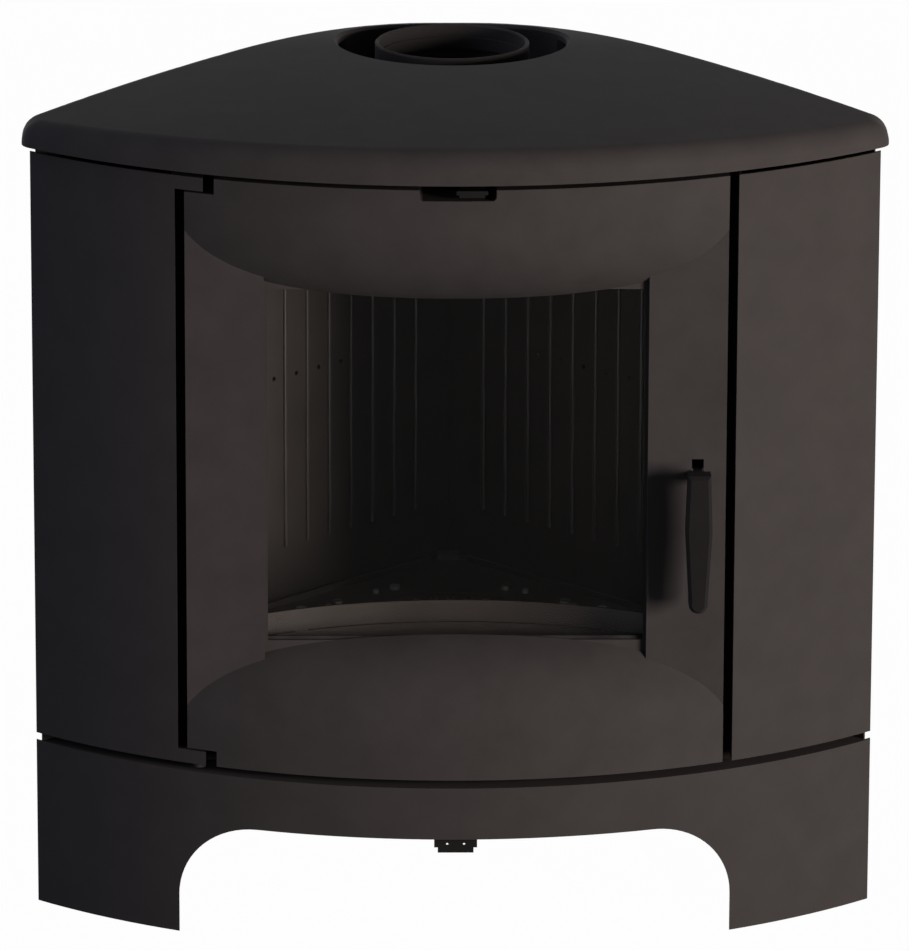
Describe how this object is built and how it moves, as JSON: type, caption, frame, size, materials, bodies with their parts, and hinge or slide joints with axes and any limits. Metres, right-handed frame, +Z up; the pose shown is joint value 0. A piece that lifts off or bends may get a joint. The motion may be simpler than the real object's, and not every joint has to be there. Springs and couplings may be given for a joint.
{
  "type": "corner wood stove",
  "caption": "Corner wood stove with a bowed front, a glazed hinged door with a lift handle, and a top flue collar.",
  "frame": {"origin": "middle of the footprint's box, on the floor", "axes": "+X to the right seen from the front, +Y to the room's corner, +Z up"},
  "size_m": [0.82, 0.5716, 0.8],
  "materials": {
    "painted_steel": "matte",
    "painted_cast": "matte",
    "liner_iron": "matte",
    "box_steel": "matte",
    "glass": "clear",
    "glass_fibre": "woven",
    "steel": "satin"
  },
  "bodies": {
    "stove": {"ash_floor": "box_steel", "ash_pan": "box_steel", "baffle": "liner_iron", "base_deck": "painted_steel", "base_panel": "painted_steel", "cap": "painted_cast", "corner_strip": "painted_steel", "firebox_floor": "box_steel", "firebox_top": "box_steel", "firebox_walls": "box_steel", "flue_collar": "painted_cast", "front_frame": "box_steel", "grate": "painted_cast", "hearth": "liner_iron", "hearth_bolts": "steel", "hearth_lip": "liner_iron", "latch_keeper": "box_steel", "left_base_wing": "painted_steel", "left_liner": "liner_iron", "left_rear_shield": "painted_steel", "left_side_panel": "painted_steel", "log_guard": "liner_iron", "lower_air_box": "painted_steel", "lower_hinge_lug": "painted_steel", "lower_hinge_pin": "steel", "rear_block": "liner_iron", "rear_leg": "painted_steel", "recess_plate": "painted_steel", "right_base_wing": "painted_steel", "right_liner": "liner_iron", "right_rear_shield": "painted_steel", "right_side_panel": "painted_steel", "top_plate": "painted_steel", "upper_air_guide": "painted_steel", "upper_hinge_lug": "painted_steel", "upper_hinge_pin": "steel"},
    "door": {"door_shell": "painted_cast", "glass_pane": "glass", "glass_gasket": "glass_fibre", "glass_clips": "painted_steel", "door_seal": "glass_fibre", "lever_pin": "steel"},
    "handle": {"lever_bar": "painted_steel", "grip": "painted_cast"},
    "upper_air": {"upper_air_slide": "painted_steel"},
    "lower_air": {"lower_air_slide": "painted_steel"}
  },
  "joints": [
    {"name": "door_hinge", "type": "hinge", "parent": "stove", "child": "door", "pos_m": [-0.2435, -0.21575, 0.459], "axis": [0, 0, -1], "range_deg": [0, 100]},
    {"name": "handle_lift", "type": "hinge", "parent": "door", "child": "handle", "pos_m": [0.2282, -0.20225, 0.455], "axis": [-1, 0, 0], "range_deg": [0, 28]},
    {"name": "upper_air_slide", "type": "slide", "parent": "stove", "child": "upper_air", "axis": [-1, 0, 0], "range_m": [0, 0.033]},
    {"name": "lower_air_slide", "type": "slide", "parent": "stove", "child": "lower_air", "axis": [0, -1, 0], "range_m": [0, 0.04]}
  ]
}
